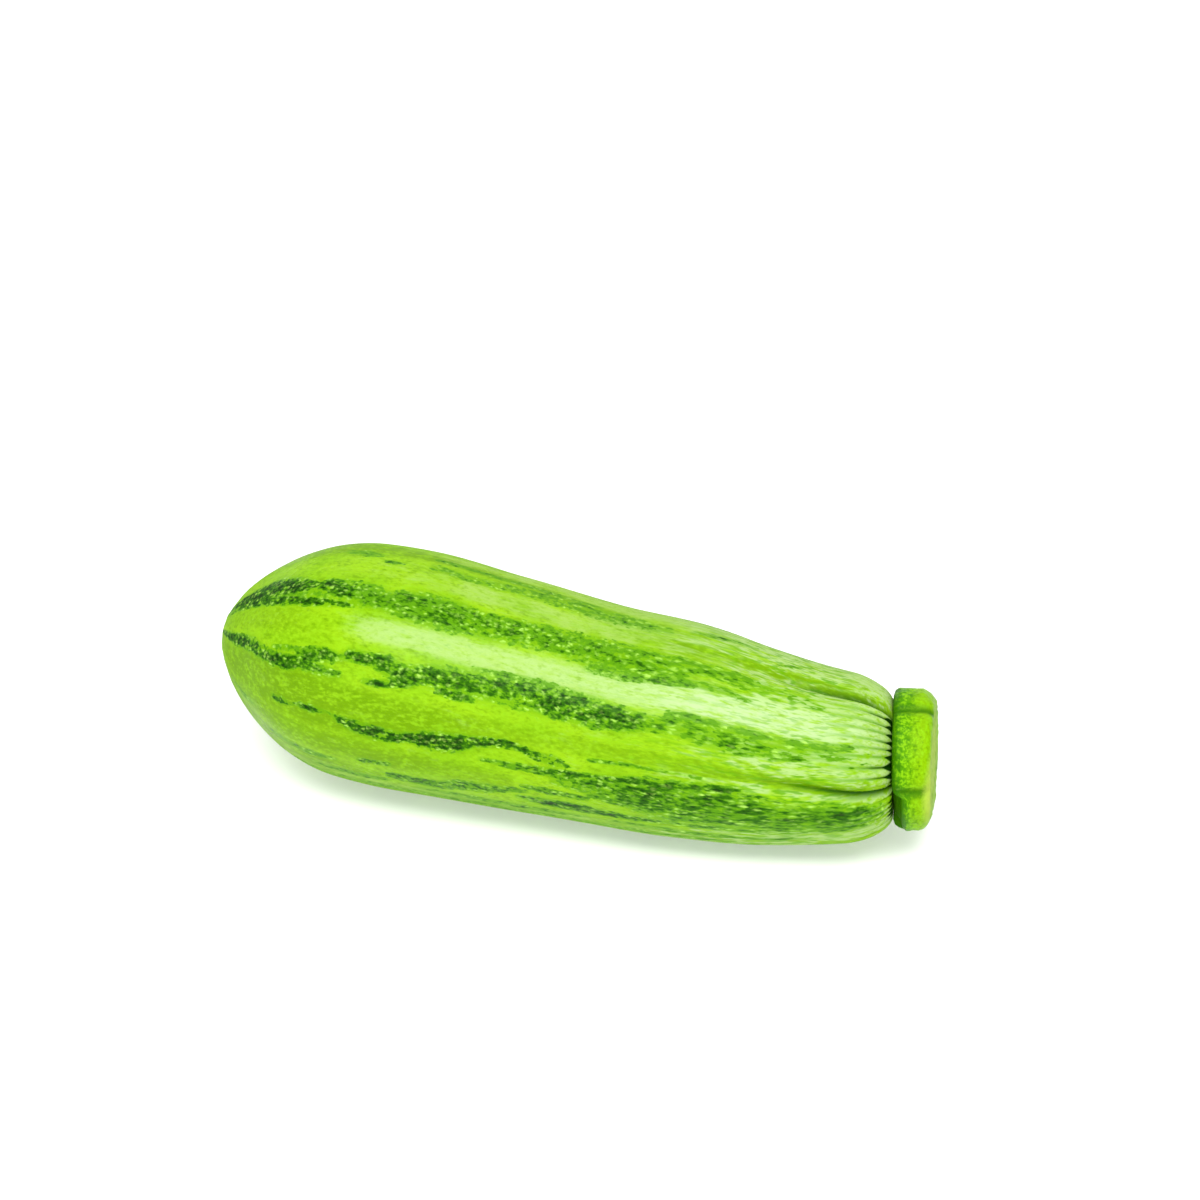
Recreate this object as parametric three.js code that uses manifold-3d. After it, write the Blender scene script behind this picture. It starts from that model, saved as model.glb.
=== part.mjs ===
// Zucchini: a striped summer squash with the short stub of its stalk, lying on its side on a level
// surface. Millimetres, +Z up, +X along the fruit from the blossom end to the stalk. The origin is
// under the middle of the whole, on the surface. There are two solids: the fruit, and the stem
// that sits on its shoulder.

import * as THREE from 'three';
import { mergeVertices } from 'three/addons/utils/BufferGeometryUtils.js';
import Module from 'manifold-3d';

// Driving dimensions of the fruit.
const FRUIT_LENGTH = 146.5; // blossom tip to the seat of the stem
const BELLY_RADIUS = 26; // at the thickest place, in the blossom half
const SEAT_RADIUS = 11.6; // the flat ring of the shoulder that the stem sits on
const NOSE_SPAN = 0.223; // share of the length taken by the rounding of the blossom end
const NOSE_ROUNDING = 2.11;
const NOSE_BLUNTNESS = 2.09; // 2 would be an ellipse, more is blunter
const SHOULDER_SPAN = 0.067; // share of the length taken by the rounding of the shoulder
const SCAR_RADIUS = 4; // the small dimple where the blossom dropped off
const SCAR_DEPTH = 0.6;

// Body outline before its two ends are rounded: share of the length, share of the belly radius.
const BODY_OUTLINE = [
  [0.0, 0.74],
  [0.15, 0.941],
  [0.28, 1.0],
  [0.42, 0.953],
  [0.57, 0.9],
  [0.7, 0.87],
  [0.8, 0.8],
  [0.9, 0.714],
  [1.0, 0.638],
];

// How the fruit lies: level between two stations, with both ends lifted a little off the surface, and
// with its neck bent a little towards the back.
const LEVEL_START = 0.3 * FRUIT_LENGTH;
const LEVEL_END = 0.75 * FRUIT_LENGTH;
const NOSE_LIFT = 1.25;
const STEM_LIFT = 3.9;
const BEND_START = 0.56 * FRUIT_LENGTH;
const NECK_BEND = 5.1;
const REST_DEPTH = 0.5; // how far the skin is pressed flat where it rests

// Ribs and creases run lengthwise. Angles turn about the axis, from the front (-Y) up to the top.
const RIB_COUNT = 10;
const RIB_HEIGHT = 0.3;
const CREASE_ANGLES = [14, 83, 156, 228, 300].map(THREE.MathUtils.degToRad);
const CREASE_DEPTH = 1.2;
const CREASE_HALF_WIDTH = 1.6;
const CREASE_START = 0.62; // share of the length where the creases begin
const CREASE_FULL = 0.97; // and where they have their whole depth

// Driving dimensions of the stem.
const STEM_LENGTH = 8;
const STEM_RADIUS = 14.6; // at its foot, over the shoulder
const STEM_WAIST_RADIUS = 14.3;
const STEM_FOOT_ROUNDING = 0.8;
const STEM_EDGE_WEAR = 1.7; // rounding of the cut's edge
const CUT_SLANT_BACK = 0.071; // the cut isn't square: the stub is longer at its back
const CUT_SLANT_UP = 0.044; // and on top
const STEM_GROOVE_DEPTH = 1.1;
const STEM_GROOVE_HALF_WIDTH = 1.3;
const STEM_GAP = 0.3; // between the stem and its seat

// Fineness of the solids.
const AROUND = 60;
const FRUIT_RINGS = 46;
const STEM_EDGE_STEPS = 4;

const bodyOutline = new THREE.SplineCurve(
  BODY_OUTLINE.map(([along, radius]) => new THREE.Vector2(along * FRUIT_LENGTH, radius * BELLY_RADIUS)),
);
const bodySamples = bodyOutline.getPoints(400);

// Radius of the body at a distance along the axis, before its ends are rounded.
function bodyRadius(along) {
  const next = bodySamples.findIndex((sample, i) => i > 0 && sample.x >= along);
  const right = next < 0 ? bodySamples.length - 1 : next;
  const [a, b] = [bodySamples[right - 1], bodySamples[right]];
  return THREE.MathUtils.mapLinear(along, a.x, b.x, a.y, b.y);
}

// Radius of the skin: the blossom end is a blunt cap, the shoulder a quarter round.
function skinRadius(along) {
  const share = along / FRUIT_LENGTH;
  const toCap = Math.max(1 - share / NOSE_SPAN, 0);
  const cap = (1 - toCap ** NOSE_ROUNDING) ** (1 / NOSE_BLUNTNESS);
  const intoShoulder = Math.max((share - 1 + SHOULDER_SPAN) / SHOULDER_SPAN, 0);
  const shoulder = Math.sqrt(Math.max(1 - intoShoulder ** 2, 0));
  return SEAT_RADIUS + (bodyRadius(along) - SEAT_RADIUS) * shoulder - bodyRadius(along) * (1 - cap);
}

// Height and slope of the axis above the surface.
function axisHeight(along) {
  const level = THREE.MathUtils.clamp(along, LEVEL_START, LEVEL_END);
  const slope = (bodyRadius(level + 1) - bodyRadius(level - 1)) / 2;
  const beyond = along - level;
  const lift = beyond > 0 ? STEM_LIFT : NOSE_LIFT;
  const reach = beyond > 0 ? FRUIT_LENGTH - LEVEL_END : LEVEL_START;
  return bodyRadius(level) + slope * beyond + lift * (beyond / reach) ** 2;
}

// How far the axis has turned aside, towards the back.
function axisAside(along) {
  const share = Math.max(along - BEND_START, 0) / (FRUIT_LENGTH - BEND_START);
  return NECK_BEND * share ** 2;
}

// Slope of one of the two functions above.
function slopeOf(course, along) {
  return course(along + 0.5) - course(along - 0.5);
}

// 1 on a crease line and 0 away from it, for a point at an angle and a radius from the axis.
function creaseAt(angle, radius, halfWidth) {
  return CREASE_ANGLES.reduce((deepest, crease) => {
    const away = Math.abs(THREE.MathUtils.euclideanModulo(angle - crease + Math.PI, 2 * Math.PI) - Math.PI);
    const reach = (away * radius) / halfWidth;
    return Math.max(deepest, Math.exp(-(reach ** 2)));
  }, 0);
}

// How far the relief moves the fruit's skin out or in.
function fruitRelief(along, angle, radius) {
  const share = along / FRUIT_LENGTH;
  const inBody = THREE.MathUtils.smoothstep(radius, 0, BELLY_RADIUS / 2);
  const rib = -0.5 * RIB_HEIGHT * Math.cos(RIB_COUNT * (angle - CREASE_ANGLES[0]));
  const creased = THREE.MathUtils.smoothstep(share, CREASE_START, CREASE_FULL);
  return inBody * (rib - CREASE_DEPTH * creased * creaseAt(angle, radius, CREASE_HALF_WIDTH));
}

function stemRelief(along, angle, radius) {
  const onSide = THREE.MathUtils.smoothstep(radius, 0.8 * STEM_WAIST_RADIUS, STEM_WAIST_RADIUS);
  return -STEM_GROOVE_DEPTH * onSide * creaseAt(angle, radius, STEM_GROOVE_HALF_WIDTH);
}

// How much further along the axis the slanted cut takes a point of the stem.
function cutStretch(along, side, upward) {
  const slant = CUT_SLANT_BACK * side + CUT_SLANT_UP * upward;
  return slant * Math.max((along - FRUIT_LENGTH - STEM_GAP) / STEM_LENGTH, 0);
}

// Turns an outline of (radius, distance along the axis) about the axis, adds its relief and lays it
// along the lifted and bent axis, each section square to it.
function growAlongAxis(outline, relief, stretch) {
  const geometry = new THREE.LatheGeometry(outline, AROUND);
  const position = geometry.getAttribute('position');
  for (let i = 0; i < position.count; i += 1) {
    const station = position.getY(i);
    const radius = Math.hypot(position.getX(i), position.getZ(i));
    const angle = Math.atan2(position.getX(i), -position.getZ(i));
    const grown = radius + (radius > 0 ? relief(station, angle, radius) : 0);
    const side = -grown * Math.cos(angle);
    const upward = grown * Math.sin(angle);
    const along = station + stretch(station, side, upward);
    const lean = Math.atan(slopeOf(axisHeight, along));
    const turn = Math.atan(slopeOf(axisAside, along));
    const forward = -upward * Math.sin(lean);
    position.setXYZ(
      i,
      along - side * Math.sin(turn) + forward * Math.cos(turn),
      axisAside(along) + side * Math.cos(turn) + forward * Math.sin(turn),
      axisHeight(along) + upward * Math.cos(lean),
    );
  }
  return asClosed(geometry);
}

// Joins doubled vertices and drops the empty triangles at the poles, which leaves a closed surface.
function asClosed(geometry) {
  geometry.deleteAttribute('normal');
  geometry.deleteAttribute('uv');
  const merged = mergeVertices(geometry, 1e-3);
  const kept = [];
  const corners = merged.getIndex().array;
  for (let i = 0; i < corners.length; i += 3) {
    const [a, b, c] = corners.slice(i, i + 3);
    if (a !== b && b !== c && c !== a) kept.push(a, b, c);
  }
  merged.setIndex(kept);
  return merged;
}

function fruitOutline() {
  const points = [];
  for (let ring = 0; ring <= FRUIT_RINGS; ring += 1) {
    const along = (FRUIT_LENGTH * (1 - Math.cos((Math.PI * ring) / FRUIT_RINGS))) / 2;
    const radius = skinRadius(along);
    const dimple = SCAR_DEPTH * (1 - THREE.MathUtils.smoothstep(radius, 0, SCAR_RADIUS));
    points.push(new THREE.Vector2(ring === 0 ? 0 : radius, along + dimple));
  }
  points.push(new THREE.Vector2(0, FRUIT_LENGTH));
  return points;
}

// The stem is a little wider at its foot and ends in a cut with a worn edge.
function stemOutline() {
  const foot = FRUIT_LENGTH + STEM_GAP;
  const cut = foot + STEM_LENGTH;
  const steps = [
    [0, foot],
    [STEM_RADIUS - STEM_FOOT_ROUNDING, foot],
    [STEM_RADIUS, foot + STEM_FOOT_ROUNDING],
    [STEM_WAIST_RADIUS, foot + 3 * STEM_FOOT_ROUNDING],
  ];
  for (let step = 0; step <= STEM_EDGE_STEPS; step += 1) {
    const turn = (Math.PI * step) / (2 * STEM_EDGE_STEPS);
    steps.push([
      STEM_WAIST_RADIUS - STEM_EDGE_WEAR * (1 - Math.cos(turn)),
      cut - STEM_EDGE_WEAR * (1 - Math.sin(turn)),
    ]);
  }
  steps.push([0, cut]);
  return steps.map(([radius, along]) => new THREE.Vector2(radius, along));
}

const wasm = await Module();
wasm.setup();

function toSolid(geometry) {
  return new wasm.Manifold(
    new wasm.Mesh({
      numProp: 3,
      vertProperties: new Float32Array(geometry.getAttribute('position').array),
      triVerts: new Uint32Array(geometry.getIndex().array),
    }),
  );
}

function toGeometry(solid) {
  const mesh = solid.getMesh();
  const geometry = new THREE.BufferGeometry();
  geometry.setAttribute('position', new THREE.BufferAttribute(mesh.vertProperties, 3));
  geometry.setIndex(new THREE.BufferAttribute(mesh.triVerts, 1));
  return geometry;
}

// The underside is pressed flat where the fruit's own weight rests on it.
function pressFlat(geometry) {
  geometry.computeBoundingBox();
  const { min } = geometry.boundingBox;
  const block = new THREE.BoxGeometry(2 * FRUIT_LENGTH, 4 * BELLY_RADIUS, BELLY_RADIUS);
  block.translate(FRUIT_LENGTH / 2, 0, min.z + REST_DEPTH - BELLY_RADIUS / 2);
  return toGeometry(toSolid(geometry).subtract(toSolid(asClosed(block))));
}

const fruit = new THREE.Mesh(
  pressFlat(growAlongAxis(fruitOutline(), fruitRelief, () => 0)),
  new THREE.MeshStandardMaterial({ color: 0x84c32b, roughness: 0.38, metalness: 0 }),
);
fruit.name = 'fruit';

const stem = new THREE.Mesh(
  growAlongAxis(stemOutline(), stemRelief, cutStretch),
  new THREE.MeshStandardMaterial({ color: 0x8fd63a, roughness: 0.6, metalness: 0 }),
);
stem.name = 'stem';

const zucchini = new THREE.Group();
zucchini.add(fruit, stem);

// The whole stands centred over the origin, on the surface.
const bounds = new THREE.Box3().setFromObject(zucchini);
const middle = bounds.getCenter(new THREE.Vector3());
zucchini.position.set(-middle.x, -middle.y, -bounds.min.z);
zucchini.updateMatrixWorld(true);

export default zucchini;
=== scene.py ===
"""A striped zucchini lying on its side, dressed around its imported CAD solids.

The skin and the stem follow the same outline formulas as the solids, on a much finer grid, with the
small relief and the colour pattern that the solids leave out. Lengths in the constants are
millimetres at the drawn size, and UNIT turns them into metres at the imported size. Angles turn about
the fruit's axis, from the front (-Y) up to the top (+Z).
"""

import math

import bpy
import numpy as np
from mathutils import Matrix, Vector, noise


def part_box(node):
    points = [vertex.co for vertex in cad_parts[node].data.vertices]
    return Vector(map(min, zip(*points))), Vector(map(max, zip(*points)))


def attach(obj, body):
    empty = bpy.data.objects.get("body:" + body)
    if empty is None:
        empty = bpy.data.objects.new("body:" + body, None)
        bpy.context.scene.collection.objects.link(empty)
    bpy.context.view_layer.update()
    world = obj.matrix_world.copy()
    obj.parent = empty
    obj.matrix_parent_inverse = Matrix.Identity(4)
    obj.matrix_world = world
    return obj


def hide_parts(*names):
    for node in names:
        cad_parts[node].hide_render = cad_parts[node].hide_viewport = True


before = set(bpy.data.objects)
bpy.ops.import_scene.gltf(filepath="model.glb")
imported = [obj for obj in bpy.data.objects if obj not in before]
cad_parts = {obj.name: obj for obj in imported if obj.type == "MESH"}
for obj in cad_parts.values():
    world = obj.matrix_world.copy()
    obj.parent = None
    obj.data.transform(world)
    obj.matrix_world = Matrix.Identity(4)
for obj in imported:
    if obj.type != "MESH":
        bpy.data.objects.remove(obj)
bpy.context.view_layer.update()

# ---------------- sizes, as in the CAD source

FRUIT_LENGTH = 146.5
BELLY_RADIUS = 26.0
SEAT_RADIUS = 11.6
NOSE_SPAN = 0.223
NOSE_ROUNDING = 2.11
NOSE_BLUNTNESS = 2.09
SHOULDER_SPAN = 0.067
BODY_OUTLINE = (
    (0.0, 0.74), (0.15, 0.941), (0.28, 1.0), (0.42, 0.953), (0.57, 0.9),
    (0.7, 0.87), (0.8, 0.8), (0.9, 0.714), (1.0, 0.638),
)
LEVEL_START = 0.3 * FRUIT_LENGTH
LEVEL_END = 0.75 * FRUIT_LENGTH
NOSE_LIFT = 1.25
STEM_LIFT = 3.9
BEND_START = 0.56 * FRUIT_LENGTH
NECK_BEND = 5.1
REST_DEPTH = 0.5
RIB_COUNT = 10
RIB_HEIGHT = 0.3
CREASE_ANGLES = np.radians((14, 83, 156, 228, 300))
CREASE_DEPTH = 1.2
CREASE_HALF_WIDTH = 1.6
CREASE_START = 0.62
CREASE_FULL = 0.97
# The crease on the front sinks a little on its last way to the stem.
CREASE_SINK = math.radians(6.5)
CREASE_SINK_START = 0.86
STEM_LENGTH = 8.0
CUT_SLANT_BACK = 0.071
CUT_SLANT_UP = 0.044

# Fineness of the curves and of the two skins.
SPLINE_POINTS = 401
FRUIT_AROUND = 448
FRUIT_RINGS = 216
STEM_AROUND = 320
STEM_SIDE_RINGS = 90
STEM_FACE_RINGS = 60

# Length of the fruit solid's box as drawn: the axis, and what the leaning shoulder adds to it.
DRAWN_BOX_LENGTH = 148.289
fruit_low, fruit_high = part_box("fruit")
UNIT = (fruit_high.x - fruit_low.x) / DRAWN_BOX_LENGTH


# ---------------- helpers for smooth shapes

def smoothstep(value, low, high):
    t = np.clip((value - low) / (high - low), 0, 1)
    return t * t * (3 - 2 * t)


def between(value, low, high, soft):
    """1 between low and high, falling to 0 over soft outside them."""
    return smoothstep(value, low - soft, low) * (1 - smoothstep(value, high, high + soft))


def angle_between(a, b):
    return (a - b + math.pi) % (2 * math.pi) - math.pi


def off_front(angle):
    """How many degrees a point lies above the front, or below it where negative."""
    return np.degrees(angle_between(angle, 0.0))


def angles_around(count):
    """Angles of the points of a ring. The seam of the unrolled map runs along the underside."""
    return np.linspace(0, 2 * math.pi, count, endpoint=False) - math.pi / 2


def running_total(steps):
    return np.concatenate(((0,), np.cumsum(steps)))


def noise_at(points, scale, seed):
    """Perlin noise, about -1 to 1, at an array of points."""
    shift = Vector((seed * 17.3, seed * 5.1, seed * 9.7))
    flat = points.reshape(-1, 3) * scale
    values = [noise.noise(Vector(point) + shift) for point in flat]
    return np.array(values).reshape(points.shape[:-1])


# ---------------- the fruit's shape

def body_spline():
    """Points of a Catmull-Rom curve through BODY_OUTLINE, as (distance along, radius)."""
    knots = np.array(BODY_OUTLINE) * (FRUIT_LENGTH, BELLY_RADIUS)
    last = len(knots) - 1
    points = []
    for t in np.linspace(0, last, SPLINE_POINTS):
        i = min(int(t), last - 1)
        w = t - i
        p0, p1, p2, p3 = knots[max(i - 1, 0)], knots[i], knots[i + 1], knots[min(i + 2, last)]
        v0, v1 = (p2 - p0) / 2, (p3 - p1) / 2
        cubic = (2 * p1 - 2 * p2 + v0 + v1) * w**3
        square = (-3 * p1 + 3 * p2 - 2 * v0 - v1) * w**2
        points.append(cubic + square + v0 * w + p1)
    return np.array(points).T


SPLINE_ALONG, SPLINE_RADIUS = body_spline()


def body_radius(along):
    return np.interp(along, SPLINE_ALONG, SPLINE_RADIUS)


def skin_radius(along, shoulder_span=SHOULDER_SPAN):
    share = along / FRUIT_LENGTH
    to_cap = np.clip(1 - share / NOSE_SPAN, 0, 1)
    cap = (1 - to_cap**NOSE_ROUNDING) ** (1 / NOSE_BLUNTNESS)
    into = np.clip((share - 1 + shoulder_span) / shoulder_span, 0, 1)
    shoulder = np.sqrt(1 - into**2)
    body = body_radius(along)
    return SEAT_RADIUS + (body - SEAT_RADIUS) * shoulder - body * (1 - cap)


def axis_height(along):
    level = np.clip(along, LEVEL_START, LEVEL_END)
    slope = (body_radius(level + 1) - body_radius(level - 1)) / 2
    beyond = along - level
    lift = np.where(beyond > 0, STEM_LIFT, NOSE_LIFT)
    reach = np.where(beyond > 0, FRUIT_LENGTH - LEVEL_END, LEVEL_START)
    return body_radius(level) + slope * beyond + lift * (beyond / reach) ** 2


def axis_aside(along):
    """How far the neck has turned aside, towards the back."""
    share = np.clip(along - BEND_START, 0, None) / (FRUIT_LENGTH - BEND_START)
    return NECK_BEND * share**2


def slope_of(course, along):
    return np.arctan(course(along + 0.5) - course(along - 0.5))


def lay_along_axis(along, angle, radius):
    """Places points round the lifted and bent axis, each section square to it, in drawn millimetres."""
    side = -radius * np.cos(angle)
    upward = radius * np.sin(angle)
    lean = slope_of(axis_height, along)
    turn = slope_of(axis_aside, along)
    forward = -upward * np.sin(lean)
    x = along - side * np.sin(turn) + forward * np.cos(turn)
    y = axis_aside(along) + side * np.cos(turn) + forward * np.sin(turn)
    z = axis_height(along) + upward * np.cos(lean)
    return np.stack((x, y, z), axis=-1)


def crease_at(angle, radius, half_width, share=1.0):
    line = CREASE_ANGLES[0] - CREASE_SINK * smoothstep(share, CREASE_SINK_START, 1)
    away = np.abs(angle_between(angle[..., None], CREASE_ANGLES[1:])).min(axis=-1)
    away = np.minimum(away, np.abs(angle_between(angle, line)))
    return np.exp(-((away * radius / half_width) ** 2))


def in_body(radius):
    """0 at the blossom tip, where the relief has to die out, and 1 on the body."""
    return smoothstep(radius, 0, BELLY_RADIUS / 2)


def solid_relief(along, angle, radius):
    """The relief that the CAD solid has too."""
    share = along / FRUIT_LENGTH
    rib = -0.5 * RIB_HEIGHT * np.cos(RIB_COUNT * (angle - CREASE_ANGLES[0]))
    creased = smoothstep(share, CREASE_START, CREASE_FULL)
    crease = crease_at(angle, radius, CREASE_HALF_WIDTH, share)
    return in_body(radius) * (rib - CREASE_DEPTH * creased * crease)


# ---------------- fine ribs on the shoulder

RIBLET_COUNT = 54
# How strongly the riblets show on each lobe of the shoulder: middle angle in degrees, strength.
RIBLET_LOBES = ((49, 1.0), (120, 0.1), (192, 0.85), (264, 0.6), (-23, 0.6))
LOBE_FULL = math.radians(28)
LOBE_END = math.radians(39)
# Shares of the length where the slits begin, about, and where they have their whole depth.
SLIT_START = 0.95
SLIT_FULL = 0.99
SLIT_DEPTH = 0.9
# How much the slits lengthen the rounding of the shoulder, and how much of that and more the
# crests take off again, as shares of its span.
SLIT_SPAN = 0.06
CREST_SPAN = 0.16
# Painted shade at the edge of the seat: its share of the length, and how far it goes back where
# there are riblets and forward again on their tips.
SEAT_EDGE = 1.003
SEAT_EDGE_BACK = 0.0145
SEAT_EDGE_TIPS = 0.013


def riblet_crest(angle):
    """1 on the crest of a riblet, 0 in the slit beside it."""
    drift = 2.0 * np.sin(3 * angle + 1.1) + 1.2 * np.sin(7 * angle + 0.4) + 0.3 * np.sin(17 * angle)
    return np.abs(np.cos((RIBLET_COUNT * angle + drift) / 2))


def riblet_strength(angle):
    total = np.zeros_like(angle)
    for middle, strength in RIBLET_LOBES:
        away = np.abs(angle_between(angle, math.radians(middle)))
        total += strength * (1 - smoothstep(away, LOBE_FULL, LOBE_END))
    return np.clip(total, 0, 1)


def shoulder_slits(share, angle):
    """Depth of the slits between the riblets, 0 to 1."""
    uneven = 0.7 + 0.3 * np.sin(5 * angle + 2.0) * np.sin(11 * angle)
    start = SLIT_START + 0.014 * np.sin(9 * angle + 0.7) + 0.01 * np.sin(23 * angle)
    in_slit = (1 - riblet_crest(angle)) ** 1.8
    return in_slit * smoothstep(share, start, SLIT_FULL) * riblet_strength(angle) * uneven


def seat_shade(share, angle):
    """Painted shade round the seat of the stem, which reaches into the slits."""
    strength = riblet_strength(angle)
    pointed = np.arcsin(riblet_crest(angle)) * 2 / math.pi
    uneven = 0.002 * np.sin(8 * angle + 1.0) + 0.001 * np.sin(19 * angle)
    edge = SEAT_EDGE + strength * (SEAT_EDGE_TIPS * pointed**0.7 - SEAT_EDGE_BACK) + uneven
    return smoothstep(share, edge - 0.005, edge + 0.002)


def riblet_valleys(share, angle):
    """The green lines between the riblets, which fade out along the neck."""
    valley = 1 - smoothstep(riblet_crest(angle), 0.15, 0.75)
    return valley * riblet_strength(angle) * smoothstep(share, 0.88, 0.96)


def riblet_tip_highlight(share, angle):
    """Painted highlight on the crests of the riblets, next to the seat."""
    crest = smoothstep(riblet_crest(angle), 0.35, 0.9)
    return crest * riblet_strength(angle) * smoothstep(share, 0.955, 0.985)


# ---------------- colour pattern of the skin

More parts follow.
